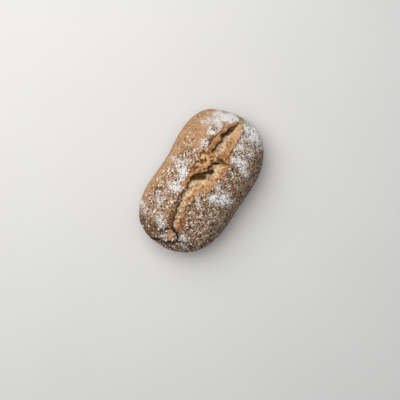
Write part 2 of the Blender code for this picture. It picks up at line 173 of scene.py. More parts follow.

# Fine creases of the crumpled flap: their spacing, half width as a share of it, height and the darkness of
# the painted shade in them.
CRUMPLE_LENGTH = 4.0
CRUMPLE_CREASE = 0.2
CRUMPLE_HEIGHT = 1.9
CRUMPLE_DARKNESS = 0.9
CRUMPLE_BREAKS = (7.0, -0.1, 0.3)

# Lumps of the flap and of the crumb: (wavelength, height).
FLAP_LUMPS = (5.2, 3.8)
# Weight of the flap's lumps in the relief that sets painted highlight and shade, and the amount taken off
# that relief on the flap.
LUMP_SHADE = 1.0
FLAP_MEAN = 1.8
CRUMB_LUMPS = (6.5, 3.4)

# Narrow groove along the left edge: the stretch it fades in and out over, its depth and half width.
GROOVE_IN = (-10, 26)
GROOVE_OUT = (68, 78)
GROOVE_DEPTH = 3.0
GROOVE_HALF_WIDTH = 1.8

# Shallow crease in the bare skin, seen from above, with its half width, depth and the darkness of the painted
# shade in it.
SKIN_CREASE = ((62, 68), (74, 63), (90, 58), (100, 52))
SKIN_CREASE_HALF_WIDTH = 1.5
SKIN_CREASE_DEPTH = 0.9
SKIN_CREASE_DARKNESS = 0.4

# Hollows in the slash, darkened with painted shade: path from above, half width and depth.
HOLLOWS = (
    (((-5, 17), (-0.5, 11), (5.5, 1.5)), 4.4, 3.4),
    (((18.6, -4.6), (20.5, -5.2)), 2.8, 5.0),
    (((40, -4), (42.5, -10), (42, -16.5)), 2.2, 5.0),
    (((33, -3), (37, -7)), 1.1, 2.5),
    (((99.5, 2), (90.8, 9), (77, 11)), 3.2, 3.2),
    (((-72, -3), (-76, -6)), 3.0, 2.0),
)

# Cracks over the narrow end.
MAIN_CRACK = (
    (-122, 21), (-117, 14), (-117, 4), (-110, -11), (-102, -17), (-102, -23), (-98, -32), (-101, -41),
    (-90, -52), (-74, -59), (-60, -62),
)
SHORT_CRACKS = (((-105, 17), (-99, 14), (-94, 7)), ((-91, 1), (-95, -12), (-100, -18)))
CRACK_DEPTH = 4.2
CRACK_HALF_WIDTH = 2.3
CRACK_WANDER = (9.0, 1.5)
CRACK_FRAY = (3.0, 1.1)
CRACK_SHADE_WIDTH = 2.7
CRACK_LIP = 0.9
CRACK_LIP_AWAY = 3.6
CRACK_LIP_WIDTH = 1.6
UNCRACKED_FROM = -50.0
CRACK_FADE = (-56, -36)
LEAST_CRACK = 0.3

# Waves of the crust: (wavelength, height).
BROAD_WAVES = (46.0, 1.5)
SMALL_WAVES = (13.0, 0.45)
WRINKLES = (5.0, 0.34)
GRAIN = (1.9, 0.16)
CRAGS = (11.0, 2.6)
SMALL_CRAGS = (4.6, 2.0)
TINY_CRAGS = (2.0, 0.8)
RECESS_CALM = 0.45


def ramp(value, start, end):
    """Smooth step from 0 at start to 1 at end."""
    share = min(1.0, max(0.0, (value - start) / (end - start)))
    return share * share * (3 - 2 * share)


def mix(first, second, share):
    """Value between two others."""
    return first + (second - first) * share


def through(knots, x):
    """Smooth curve through knots given as (x, y), level outside them."""
    if x <= knots[0][0]:
        return knots[0][1]
    if x >= knots[-1][0]:
        return knots[-1][1]
    index = 0
    while knots[index + 1][0] <= x:
        index += 1
    (x0, y0), (x1, y1) = knots[index], knots[index + 1]
    before = knots[max(0, index - 1)]
    after = knots[min(len(knots) - 1, index + 2)]
    slope0 = (y1 - before[1]) / (x1 - before[0])
    slope1 = (after[1] - y0) / (after[0] - x0)
    span = x1 - x0
    t = (x - x0) / span
    start_part = (1 + 2 * t) * (1 - t) ** 2 * y0 + t * (1 - t) ** 2 * span * slope0
    return start_part + t * t * (3 - 2 * t) * y1 - t * t * (1 - t) * span * slope1


def outline_reach(angle):
    """Distance from the centre to the outline at an angle, in units of half the length and width."""
    power = CORNER_POWER + CORNER_POWER_CHANGE * math.sin(angle)
    squared = abs(math.cos(angle)) ** power + abs(math.sin(angle)) ** power
    waves = sum(size * math.cos(order * angle - math.radians(phase)) for order, size, phase in OUTLINE_WAVES)
    return squared ** (-1 / power) * (1 + waves)


def dome_power(angle):
    """Power of the dome's fall towards an angle."""
    return mix(DOME_POWER_ACROSS, DOME_POWER_ALONG, math.cos(angle) ** 2)


def at_reach(angle, reach, height):
    """Point at a share of the way out to the outline, at a height."""
    square = 1 + (outline_reach(angle) - 1) * reach * reach
    x = HALF_LENGTH * reach * square * math.cos(angle)
    return Vector((x, HALF_WIDTH * reach * square * math.sin(angle), height))


def dome_point(a, b):
    """Point of the smooth upper crust: a runs along the loaf and b across it, each from -1 to 1."""
    disc_x = a * math.sqrt(1 - b * b / 2)
    disc_y = b * math.sqrt(1 - a * a / 2)
    reach = SHEET_REACH * min(1.0, math.hypot(disc_x, disc_y))
    angle = math.atan2(disc_y, disc_x)
    height = (1 - reach ** dome_power(angle)) ** DOME_ROUNDNESS
    return at_reach(angle, reach, mix(GIRTH_HEIGHT, DOME_HEIGHT, height))


def side_point(angle, ring):
    """Point of the crust's side: ring 0 closes the upper sheet and the last ring lies on the base."""
    power = dome_power(angle)
    top_height = (1 - SHEET_REACH ** power) ** DOME_ROUNDNESS
    if ring <= RINGS_ABOVE_GIRTH:
        height = top_height * (1 - ring / RINGS_ABOVE_GIRTH)
        reach = (1 - height ** (1 / DOME_ROUNDNESS)) ** (1 / power)
        return at_reach(angle, reach, mix(GIRTH_HEIGHT, DOME_HEIGHT, height))
    turn = (ring - RINGS_ABOVE_GIRTH) / RINGS_BELOW_GIRTH * math.pi / 2
    rim = at_reach(angle, 1.0, GIRTH_HEIGHT * (1 - math.sin(turn)))
    inward = Vector((rim.x, rim.y, 0)).normalized()
    return rim - inward * BASE_INSET * (1 - math.cos(turn))


def slash_open(x):
    """How far the slash has opened at a distance along the loaf, from 0 to 1."""
    opening, closing = SLASH_FADES
    return ramp(x, SLASH_START, SLASH_START + opening) * (1 - ramp(x, SLASH_END - closing, SLASH_END))


def fray(x, row):
    """Sideways wander of a torn edge, coarse and fine."""
    coarse = noise.noise((x / EDGE_WANDER[0], row, 0)) * EDGE_WANDER[1]
    return (coarse + noise.noise((x / EDGE_FRAY[0], row, FRAY_DEPTH)) * EDGE_FRAY[1]) * slash_open(x)


def slash_edges(x):
    """Left and right edges of the slash across the loaf, kept at least a little apart."""
    left = through(LEFT_EDGE, x) + fray(x, LEFT_ROW)
    right = through(RIGHT_EDGE, x) + fray(x, RIGHT_ROW)
    spread = max(0.0, LEAST_SLASH_WIDTH - (left - right)) / 2
    return left + spread, right - spread


def edge_share(a, side):
    """Share b across the net at which the dome crosses an edge of the slash."""
    low, high = -OUTERMOST_EDGE, OUTERMOST_EDGE
    for _ in range(HALVINGS):
        b = (low + high) / 2
        point = dome_point(a, b)
        if point.y < slash_edges(point.x)[side]:
            low = b
        else:
            high = b
    return (low + high) / 2


def slash_widths(x, width):
    """Widths of torn crust, recess and ridge, and how far the slash is bridged, from 0 to 1."""
    torn = through(TORN_WIDTHS, x)
    wander = noise.noise((x / FLAP_WANDER[0], FLAP_ROW, 0)) * FLAP_WANDER[1]
    wander += noise.noise((x / EDGE_FRAY[0], FLAP_ROW, FRAY_DEPTH)) * EDGE_FRAY[1]
    torn += wander * ramp(torn, *TORN_WANDER_WIDTHS) * slash_open(x)
    ridge = through(RIDGE_WIDTHS, x)
    bridged = 1 - ramp(width - ridge - torn, *BRIDGE_GAPS)
    bridged *= 1 - ramp(abs(x - BRIDGE_MIDDLE), *BRIDGE_SPREAD)
    recess = min(through(RECESS_WIDTHS, x), WIDEST_RECESS_SHARE * width)
    room = width - recess - LEAST_CRUMB_WIDTH
    torn = max(LEAST_TORN_WIDTH, min(torn, room - LEAST_RIDGE_WIDTH))
    return torn, recess, min(ridge, room - torn), bridged


def slash_knots(x, width):
    """Across the slash: share of the cells, distance from the left edge and height over the dome."""
    torn, recess, ridge, bridged = slash_widths(x, width)
    flap = ramp(torn, *FLAP_WIDTHS)
    depth = mix(through(SLASH_DEPTHS, x), BRIDGE_DEPTH, bridged)
    drop = min(depth / 2, mix(TORN_DROP, FLAP_SAG, max(flap, 1 - ramp(x, *UPPER_HALF))))
    undercut = UNDERCUT * ramp(width, *UNDERCUT_SLASH_WIDTHS)
    return (
        (0, 0, LIP_RISE),
        (TORN_SHARE, torn, -drop),
        (UNDERCUT_SHARE, mix(torn - undercut, torn + recess / 2, bridged), mix(-drop, -depth, UNDERCUT_FALL)),
        (RECESS_SHARE, torn + recess, -depth),
        (CRUMB_SHARE, width - ridge, -RIDGE_STEP),
        (1, width, RIDGE_RISE),
    )


def slash_profile(share, x, width):
    """Distance from the left edge and height over the dome, evenly spread where the slash is shut."""
    knots = slash_knots(x, width)
    index = 0
    while index < len(knots) - 2 and share > knots[index + 1][0]:
        index += 1
    (share0, offset0, rise0), (share1, offset1, rise1) = knots[index], knots[index + 1]
    part = (share - share0) / (share1 - share0)
    rise = mix(rise0, rise1, part)
    if share <= TORN_SHARE:
        rise += TORN_ROLL * ramp(x, *UPPER_HALF) * 4 * part * (1 - part)
    elif share > CRUMB_SHARE:
        rise += RIDGE_HUMP * 4 * part * (1 - part)
    elif share > RECESS_SHARE:
        rise = rise1 - (rise1 - rise0) * (1 - part) ** CRUMB_HOLLOW
    opened = slash_open(x)
    return mix(width * share, mix(offset0, offset1, part), min(1.0, SPREAD_GAIN * opened)), rise * opened


def beside_slash(point, left, right):
    """Rise of the crust next to the slash."""
    opened = slash_open(point.x)
    if point.y > left:
        away = point.y - left
        return (LIP_RISE * math.exp(-away / LIP_SPREAD) - groove(away, point.x)) * opened
    return RIDGE_RISE * opened * math.exp(-(right - point.y) / RIDGE_SPREAD)


def groove(away, x):
    """Depth of the narrow groove that follows the slash's left edge, at a distance from it."""
    along = ramp(x, *GROOVE_IN) * (1 - ramp(x, *GROOVE_OUT))
    return GROOVE_DEPTH * along * math.exp(-(away / GROOVE_HALF_WIDTH) ** 2)


def hollow(x, y):
    """Depth of the dark hollows at a place seen from above."""
    depths = [0.0]
    for path, half_width, depth in HOLLOWS:
        depths.append(depth * math.exp(-(distance_to_path(path, x, y) / half_width) ** 2))
    return max(depths)


def distance_to_path(path, x, y):
    """Distance from a place seen from above to a path of straight pieces."""
    nearest = LENGTH
    for (x0, y0), (x1, y1) in zip(path, path[1:]):
        run_x, run_y = x1 - x0, y1 - y0
        share = ((x - x0) * run_x + (y - y0) * run_y) / (run_x * run_x + run_y * run_y)
        share = min(1.0, max(0.0, share))
        nearest = min(nearest, math.hypot(x - x0 - run_x * share, y - y0 - run_y * share))
    return nearest


def crack_distance(point):
    """Distance from a point to the nearest crack, seen from above."""
    if point.x > UNCRACKED_FROM:
        return LENGTH
    wander = waves(point, CRACK_WANDER) + waves(point, CRACK_FRAY)
    return min(distance_to_path(path, point.x + wander, point.y) for path in (MAIN_CRACK, *SHORT_CRACKS))


def crack_strength(y):
    """How deep a crack is, from 0 to 1: it fades towards the shaded side."""
    return mix(LEAST_CRACK, 1, ramp(y, *CRACK_FADE))


def crack_height(distance, y):
    """Height of a crack and of the raised lip beside it."""
    lip = CRACK_LIP * math.exp(-((distance - CRACK_LIP_AWAY) / CRACK_LIP_WIDTH) ** 2)
    return (lip - CRACK_DEPTH * max(0.0, 1 - distance / CRACK_HALF_WIDTH)) * crack_strength(y)


def waves(point, sizes):
    """Height of one size of waves at a point."""
    wavelength, height = sizes
    return noise.noise(point / wavelength) * height


def ridges(point, sizes):
    """Height of sharp-topped crags at a point."""
    wavelength, height = sizes
    return (0.5 - abs(noise.noise(point / wavelength)) * 2) * height


def crags(point, share):
    """Height of the torn crust's crags at a point inside the slash, least in the soft recess."""
    rough = ramp(share, RECESS_SHARE, 1) + 1 - ramp(share, TORN_SHARE, UNDERCUT_SHARE)
    calm = mix(RECESS_CALM, 1, min(1.0, rough))
    return (waves(point, CRAGS) + ridges(point, SMALL_CRAGS) + ridges(point, TINY_CRAGS)) * calm


def fold_part(point):
    """Place within one of the crumpled flap's folds, from 0 at its lower edge to 1 at the next."""
    wander = waves(point, FOLD_WANDER) + waves(point, FOLD_RIPPLE)
    return (point.x + FOLD_SLANT * point.y + wander - FOLD_START) / FOLD_LENGTH % 1


def folds(point):
    """Height of the crumpled flap's folds, each a step up followed by a slow fall."""
    part = fold_part(point)
    return FOLD_HEIGHT * ramp(part, 0, FOLD_STEP) * (1 - part)


def crumple(point):
    """How far a point is from the flap's fine creases, from 0 to 1."""
    return min(1.0, abs(noise.noise(point / CRUMPLE_LENGTH)) / CRUMPLE_CREASE)


def crease(point):
    """How near a point is to the crease under a fold, which gets painted shade, from 0 to 1."""
    part = fold_part(point)
    wavelength, least, most = CREASE_BREAKS
    broken = ramp(noise.noise(point / wavelength), least, most)
    return broken * math.exp(-(min(part, 1 - part) / CREASE_SHARE) ** 2)


# Flour lying in patches: (along, across, radius, strength from 0 to 1).
FLOUR_PATCHES = (
    (113, 17, 9, 1.0), (106, 12, 5, 0.9), (111, 6, 4, 0.7), (106, 25, 8, 0.8), (108, 38, 7, 0.55),
    (88, 46, 8, 0.5), (93, 33, 8, 0.7), (88, 22, 7, 0.65), (78, 31, 5, 0.5), (71, 24, 6, 0.7),
    (69, 33, 5, 0.6), (50, 27, 6, 0.75), (57, 31, 4, 0.4), (6, 58, 6, 0.4), (4, 47, 7, 0.8), (12, 40, 6, 0.5),
    (-2, 32, 8, 0.95), (-12, 30, 6, 0.6), (-27, 33, 8, 0.85), (-38, 33, 7, 0.5), (-31, 26, 5, 0.6),
    (-55, 44, 8, 0.5), (-67, 43, 7, 0.45), (-82, 66, 7, 0.6), (-88, 54, 8, 0.5), (-84, 26, 7, 0.7),
    (-93, 15, 6, 0.65), (-91, 31, 5, 0.6), (-108, 8, 6, 0.7), (-94, -19, 6, 0.75), (-97, -30, 6, 0.5),
    (-34, -15, 7, 0.6), (-25, -5, 4, 0.5), (-14, -30, 8, 0.9), (-10, -42, 8, 0.95), (-4, -53, 8, 0.85),
    (4, -26, 6, 0.7), (58, -40, 8, 0.7), (46, -41, 8, 0.75), (48, -53, 6, 0.5), (54, -28, 7, 0.85),
    (70, -20, 6, 0.7), (80, -21, 6, 0.6), (75, -41, 7, 0.65), (115, -15, 10, 0.97), (115, -26, 10, 0.97),
    (107, -39, 9, 0.8), (101, -26, 9, 0.8), (92, -24, 7, 0.55), (99, -49, 9, 0.55), (90, -40, 8, 0.4),
)
FLOUR_WANDER = (12.0, 7.0)
FLOUR_ROWS = (1, 8)
FLOUR_REACH = 2.2

# Flakes of the solid, kept in size and place (see the draw in flake_places).
FLAKE_COUNT = 124
FLAKE_TRIES = 6000
FLAKE_LENGTHS = (4.2, 6.4)
FLAKE_WIDTH_SHARE = (0.55, 0.85)
FLAKE_THICKNESS = 1.7
FLAKE_LIFT = 0.25
STEEPEST_FLAKE = 0.2
FLAKE_TILT = 14.0
FLAKE_SPACING = 6.4
SMOOTH_END_ALONG = (25, 55)
SMOOTH_END_ACROSS = (20, 30)
SMOOTH_SIDE_ACROSS = (50, 62)
BROWN_CORNER_ALONG = (88, 100)
BROWN_CORNER_ACROSS = (8, 22)
CLEAR_LEFT_OF_SLASH = 3
CLEAR_RIGHT_OF_SLASH = 2
LEFT_SIDE_DENSITY = 0.55

# Marks that the crust carries for its colours.
MARKS = (
    "torn", "flap", "crumb", "across", "deep", "ridge", "crack", "groove", "flour", "seeds", "relief",
    "block",
)
TORN_BORDER = (-0.02, 0.03)
CRUMB_BORDER = (-0.04, 0.02)
RIDGE_BORDER = (-0.06, 0.02)
# Reach of the painted shade under the left lip, as shares of the recess and an added edge.
DEEP_FADE = (0.3, 1.1)
DEEP_EDGE = 0.8
DEEP_FADE_SHARE = 0.06
# Hollow depth at which the painted shade in a hollow is full.
DEEPEST_HOLLOW = 3.0
BLOCK_MIDDLE = (-103, -1)
BLOCK_RADIUS = 12.0

# Smaller toppings: how many, lengths, widths as shares of them, thickness and least spacing.
OATS = (2600, (1.9, 5.0), (0.55, 0.9), 0.8, 2.5)
BRANS = (2500, (1.5, 4.6), (0.4, 0.8), 0.7, 2.0)
FLOUR_GRAINS = (4600, (0.6, 1.7), (0.6, 1.0), 0.6, 0.9)
SMALL_SIZES = 1.5
TRIES_FOR_EACH = 14
THICKNESS_CHANGE = (0.7, 1.3)
LIFT_SHARE = 0.25
LEAN = 0.22
NEIGHBOURS = tuple(product((-1, 0, 1), repeat=3))

# Form of a flake: rings as shares of half its width and half its thickness, and how uneven it is.
THICK_FLAKE = ((0.62, -0.5), (1.0, 0.0), (0.8, 0.34), (0.5, 0.5))
THIN_FLAKE = ((0.7, -0.5), (1.0, 0.0), (0.75, 0.5))
FLAKE_SIDES = 7
TOP_DIP = 0.7
UNEVENNESS = 0.16
UNEVEN_AXES = (1, 1, 0.4)
CURL = (-0.3, 0.5)
# Stretch across the loaf over which flakes take painted shade towards the shaded rim.
SHADED_SIDE = (-36, -64)

# Where the toppings thin out: stretches from thick to bare or bare to thick, and how bare it gets.
OPEN_FROM = 0.1
TOPPED_HEIGHTS = (14, 34)
TOPPED_SLOPES = (-0.3, 0.1)
SEEDED_LIP = 5.0
SEEDED_LIP_END = -24.0
UPPER_TIP = ((104, 112), (-12, -4), 0.85)
CRACK_CLEARANCE = 1.5
CRACK_CLEARING_FADE = (-50, -40)
CLUMP_LENGTH = 8.0
CLUMP_ROW = 4
CLUMP_LIMITS = (-0.3, 0.15)
LEAST_CLUMP = 0.3
BLOCK_BARENESS = 0.95
SEEDED_RIM_END = -104
BARE_END_EDGES = (24, 4)
BARE_END_TURN = (86, 100)
BARE_END_ALONG = (28, 50)
BARE_END_FADE = 10
BARE_END_BARENESS = 0.97
BARE_SIDE_EDGES = (44, 54)
BARE_SIDE_TURN = (0, 40)
BARE_SIDE_FADE = 17
BROWN_CORNER = ((86, 100), (8, 26), 0.93)
LEAST_GRAINS = 0.05
GRAIN_HEIGHTS = (20, 50)

# Colours in sRGB from 0 to 255; a pair is the two ends of a blend.
TAN = ((192, 151, 112), (162, 120, 83))
TAN_SPOT = (150, 106, 70)
TAN_SPECK = (128, 90, 60)
# Seeded crust, browner towards the shaded side partly as a darker bake and partly as painted shade; the rim
# colour deepens both.
SEEDED_BAKE_AND_SHADE = ((150, 112, 82), (84, 60, 44))
SEEDED_RIM_BAKE_AND_SHADE = (36, 27, 23)
SEEDED_ORANGE = (172, 122, 78)
SEEDED_GREY = (176, 164, 152)
BROWN_HUSK = (84, 58, 41)
PALE_HUSK = (214, 188, 160)
DARK_HUSK = (50, 34, 25)
# Narrow end: a browner bake and painted shade where that end turns away from the light.
NARROW_END_BROWN_AND_SHADE = (96, 66, 46)
SIDES = ((128, 92, 62), (170, 126, 86))
SIDE_SPECK = (104, 70, 46)
BASE_RIM = (98, 66, 44)
BLOCK = ((206, 172, 140), (160, 120, 88))
# Crumb across the slash: greyish cream beside the hollow as painted shade, golden further across.
CRUMB_SHADED_TO_GOLDEN = ((190, 170, 140), (220, 182, 136))
CRUMB_BESIDE_RIDGE = (180, 124, 78)
CRUMB_PALE = (240, 222, 192)
CRUMB_BROWN = (144, 98, 58)
CRUMB_DARK = (126, 82, 48)
CRUMB_END = (132, 88, 54)
# Painted shade inside the crumb's pores.
CRUMB_PORE_SHADE = (100, 66, 38)
# Painted shade in the crumb's low parts.
CRUMB_PAINTED_SHADE = (138, 98, 60)
TORN = ((130, 84, 48), (210, 158, 108))
TORN_FLAP = (224, 170, 116)
TORN_UPPER_END = (228, 190, 150)
# Painted highlight on the torn crust's raised crags.
TORN_PAINTED_HIGHLIGHT = (232, 190, 144)
TORN_REDDISH = ((98, 58, 36), (172, 118, 80))
# Painted shade in the torn crust's low parts.
TORN_PAINTED_SHADE = (116, 74, 41)
RIDGE_UPPER_END = (200, 164, 124)
BURNT = (116, 64, 34)
# Painted shade under the left lip, darkest in the recess and hollows.
UNDER_LIP_SHADE = (114, 82, 44)
DEEPEST_SHADE = ((76, 46, 18), (136, 90, 42))
# Painted shade in the groove by the left lip, the skin crease and the flap's creases.
GROOVE_AND_CREASE_SHADE = (60, 37, 24)
# Painted shade in the cracks.
CRACK_PAINTED_SHADE = (48, 30, 20)
DUST = (224, 218, 213)
# Lying flour, painted whiter towards the shaded side as painted light against the shade there.
FLOUR_PAINTED_BRIGHTER_IN_SHADE = ((232, 229, 227), (250, 249, 248))
LOOSE_FLOUR = ((232, 228, 224), (210, 202, 194))
# Dark specks in the flour: husks, with extra specks as painted shade between flakes on the shaded side.
FLOURED_HUSK_AND_SHADE = (74, 56, 46)
OAT_TONES = ((234, 221, 204), (204, 178, 150), (168, 132, 102))
BRAN_TONES = ((112, 80, 56), (70, 50, 38), (42, 31, 25))
MIXED_TONES = ((206, 180, 150), (146, 110, 80), (84, 58, 40))
SHADED_FLAKE = (84, 64, 50)
FLOOR = ((222, 221, 220), (217, 216, 215))
SPOT_FRAY = (1.5, 3.0)

# Lights as name, direction, distance and size in metres, watts and colour; room, floor and camera.
LIGHTS = (
    ("window", (0.22, 0.8, 1.25), 1.3, 1.4, 14, (1.0, 0.985, 0.96)),
    ("ceiling", (0.0, 0.2, 1.0), 1.5, 2.2, 12.5, (0.98, 0.99, 1.0)),
)
ROOM_COLOUR = (0.94, 0.97, 1.0, 1.0)
ROOM_STRENGTH = 0.25
FLOOR_SIZE = 6
CAMERA_PLACE = (-0.0272, -0.0122, 0.949)
CAMERA_TURN = 58.5
LENS = 50
SENSOR_WIDTH = 36


def net_shares():
    """Shares a along the net, closest together at the cracked end."""
    start = -1 + CRACKED_END_SHARE
    cracked = [mix(-1, start, i / CELLS_AT_CRACKS) for i in range(CELLS_AT_CRACKS)]
    return cracked + [mix(start, 1, i / CELLS_ALONG) for i in range(CELLS_ALONG + 1)]


def across_shares(a):
    """Shares b across the net with each one's share of the way across the slash, or -1 beside it."""
    right = edge_share(a, 1)
    left = edge_share(a, 0)
    beside, inside = CELLS_BESIDE_SLASH, CELLS_IN_SLASH
    shares = [(mix(-1, right, j / beside), -1) for j in range(beside)]
    shares += [(mix(right, left, j / inside), 1 - j / inside) for j in range(inside + 1)]
    return shares + [(mix(left, 1, j / beside), -1) for j in range(1, beside + 1)]


def smooth_net():
    """Points, faces and slash shares of the smooth crust, and the first index on the base."""
    points, faces, shares, columns = [], [], [], []
    for a in net_shares():
        row = across_shares(a)
        columns.append(range(len(points), len(points) + len(row)))
        points += [dome_point(a, b) for b, _ in row]
        shares += [share for _, share in row]
    for column, following in zip(columns, columns[1:]):
        for j in range(len(column) - 1):
            faces.append((column[j], following[j], following[j + 1], column[j + 1]))
    rim = [column[0] for column in columns[:-1]] + list(columns[-1][:-1])
    rim += [column[-1] for column in reversed(columns[1:])] + list(reversed(columns[0][1:]))
    angles = [math.atan2(points[i].y / HALF_WIDTH, points[i].x / HALF_LENGTH) for i in rim]
    upper = rim
    for ring in range(1, RINGS_ABOVE_GIRTH + RINGS_BELOW_GIRTH + 1):
        lower = range(len(points), len(points) + len(rim))
        points += [side_point(angle, ring) for angle in angles]
        for k in range(len(rim)):
            following = (k + 1) % len(rim)
            faces.append((upper[following], upper[k], lower[k], lower[following]))
        upper = lower
    base_start = upper[0]
    faces.append(tuple(reversed(upper)))
    shares += [-1] * (len(points) - len(shares))
    return points, faces, shares, base_start


def new_piece(name, points, faces, smooth):
    """Object from points in millimetres."""
    mesh = bpy.data.meshes.new(name)
    mesh.from_pydata((np.asarray(points, float) * MM).tolist(), [], faces)
    mesh.update()
    mesh.polygons.foreach_set("use_smooth", [smooth] * len(mesh.polygons))
    piece = bpy.data.objects.new(name, mesh)
    bpy.context.scene.collection.objects.link(piece)
    return piece


def add_mark(piece, name, values):
    """Store one number per vertex for the piece's material."""
    layer = piece.data.attributes.new(name, "FLOAT", "POINT")
    layer.data.foreach_set("value", np.asarray(values, np.float32))


def vertex_normals(mesh):
    """Normals of a mesh's vertices as an array."""
    normals = np.empty(len(mesh.vertices) * 3, np.float32)
    mesh.vertex_normals.foreach_get("vector", normals)
    return normals.reshape(-1, 3)


def flour_at(x, y):
    """Strength of the flour at a place seen from above, from 0 to 1."""
    wavelength, size = FLOUR_WANDER
    moved_x, moved_y = (
        value + noise.noise((x / wavelength, y / wavelength, row)) * size
        for value, row in zip((x, y), FLOUR_ROWS)
    )
    bare = 1.0
    for patch_x, patch_y, radius, strength in FLOUR_PATCHES:
        away = math.hypot(moved_x - patch_x, moved_y - patch_y) / radius
        if away < FLOUR_REACH:
            bare *= 1 - strength * math.exp(-away * away)
    return 1 - bare


def build_crust():
    """Crust at full detail with marks for its colours; returns the piece and its smooth normals."""
    points, faces, shares, base_start = smooth_net()
    piece = new_piece("loaf_crust", points, faces, True)
    normals = vertex_normals(piece.data)
    marks = {name: np.zeros(len(points)) for name in MARKS}
    placed = np.array([tuple(point) for point in points])
    for i, point in enumerate(points[:base_start]):
        if shares[i] < 0:
            height = raise_crust_point(marks, i, point, normals[i][2])
        else:
            height = raise_slash_point(marks, i, point, shares[i])
        placed[i] = point + Vector(normals[i]) * height
    fit_box(placed, base_start)
    piece.data.vertices.foreach_set("co", (placed * MM).ravel())
    piece.data.update()
    for name, values in marks.items():
        add_mark(piece, name, values)
    return piece, placed, normals


def body_waves(point):
    """Height of the crust's broad and small waves at a point."""
    return (waves(point, BROAD_WAVES) + waves(point, SMALL_WAVES)) * ramp(point.z, 0, GIRTH_HEIGHT / 2)


def raise_crust_point(marks, i, point, up):
    """Height of a point beside the slash over the smooth dome, and its marks."""
    left, right = slash_edges(point.x)
    crack = crack_distance(point)
    above = ramp(point.z, *RIM_HEIGHTS)
    fine = ridges(point, WRINKLES) + waves(point, GRAIN)
    marks["relief"][i] = fine
    # The crack mark carries painted shade along the cracks.
    marks["crack"][i] = math.exp(-(crack / CRACK_SHADE_WIDTH) ** 2) * above * crack_strength(point.y)
    marks["flour"][i] = flour_at(point.x, point.y) * above
    marks["seeds"][i] = topping_density(*point, up)
    skin = math.exp(-(distance_to_path(SKIN_CREASE, point.x, point.y) / SKIN_CREASE_HALF_WIDTH) ** 2)
    # The groove mark carries painted shade in the groove and the skin crease.
    marks["groove"][i] = max(groove(abs(point.y - left), point.x) / GROOVE_DEPTH, skin * SKIN_CREASE_DARKNESS)
    marks["block"][i] = on_block(point.x, point.y)
    rise = (beside_slash(point, left, right) + crack_height(crack, point.y)) * above
    rise -= skin * SKIN_CREASE_DEPTH
    return body_waves(point) + rise + fine * ramp(point.z, 0, GIRTH_HEIGHT / 2)


def past(share, middle, border):
    """How far a share of the slash's cells lies past a soft border, from 0 to 1."""
    return ramp(share, middle + border[0], middle + border[1])


def raise_slash_point(marks, i, point, share):
    """Height of a point inside the slash over the smooth dome; moves the point and sets its marks."""
    left, right = slash_edges(point.x)
    width = left - right
    opened = slash_open(point.x)
    torn, recess, _, bridged = slash_widths(point.x, width)
    height = body_waves(point)
    offset, rise = slash_profile(share, point.x, width)
    point.y = left - offset
    crack = crack_distance(point)
    flap = ramp(torn, *FLAP_WIDTHS) if share <= TORN_SHARE else bridged
    fine = crumple(point)
    lumps = ridges(point, FLAP_LUMPS)
    rough = crags(point, share) + (folds(point) + lumps + fine * CRUMPLE_HEIGHT) * flap
    if share <= TORN_SHARE:
        rough -= groove(offset, point.x)
        hole = 0.0
    else:
        soft = ramp(share, RECESS_SHARE, RECESS_SHARE + DEEP_FADE_SHARE) * (1 - ramp(share, CRUMB_SHARE, 1))
        rough += ridges(point, CRUMB_LUMPS) * soft * (1 - bridged)
        hole = hollow(point.x, point.y) * (1 - ramp(share, CRUMB_SHARE, 1))
    beyond = offset - torn
    low = ramp(share, TORN_SHARE, UNDERCUT_SHARE)
    low *= 1 - ramp(beyond, DEEP_FADE[0] * recess, DEEP_FADE[1] * recess + DEEP_EDGE)
    bare = ramp(share, UNDERCUT_SHARE, RECESS_SHARE) * (1 - past(share, CRUMB_SHARE, CRUMB_BORDER))
    brown = past(share, CRUMB_SHARE, RIDGE_BORDER)
    marks["torn"][i] = (1 - past(share, TORN_SHARE, TORN_BORDER)) * opened
    # The deep mark carries painted shade under the lip and in the hollows.
    marks["deep"][i] = max(low * (1 - bridged), hole / DEEPEST_HOLLOW) * opened
    marks["crumb"][i] = bare * (1 - bridged) * opened
    marks["ridge"][i] = max(brown, bridged * ramp(share, TORN_SHARE, UNDERCUT_SHARE)) * opened
    # The relief mark sets painted highlight on raised parts and painted shade in low ones.
    marks["relief"][i] = rough + (lumps * LUMP_SHADE - FLAP_MEAN) * flap
    marks["flap"][i] = flap
    marks["across"][i] = ramp(share, RECESS_SHARE, CRUMB_SHARE)
    # Painted shade in the flap's creases, carried by the groove mark.
    wavelength, least, most = CRUMPLE_BREAKS
    broken = ramp(noise.noise(point / wavelength), most, least)
    dark = max(crease(point) * CREASE_DARKNESS, (1 - fine) * CRUMPLE_DARKNESS * broken) * flap
    marks["groove"][i] = max(groove(offset, point.x) / GROOVE_DEPTH, dark)
    marks["crack"][i] = math.exp(-(crack / CRACK_SHADE_WIDTH) ** 2)
    marks["flour"][i] = flour_at(point.x, point.y)
    marks["seeds"][i] = topping_density(*point, 1.0) * (1 - opened)
    marks["block"][i] = on_block(point.x, point.y) * (1 - opened)
    return height + rise + crack_height(crack, point.y) + (rough - hole) * opened


def fit_box(placed, base_start):
    """Fit the crust to its overall sizes, centred on the Z axis, with the base kept level."""
    low, high = placed.min(0), placed.max(0)
    for axis, size in ((0, LENGTH), (1, WIDTH)):
        placed[:, axis] = (placed[:, axis] - (low[axis] + high[axis]) / 2) * size / (high[axis] - low[axis])
    placed[:, 2] *= HEIGHT / high[2]
    placed[base_start:, 2] = 0


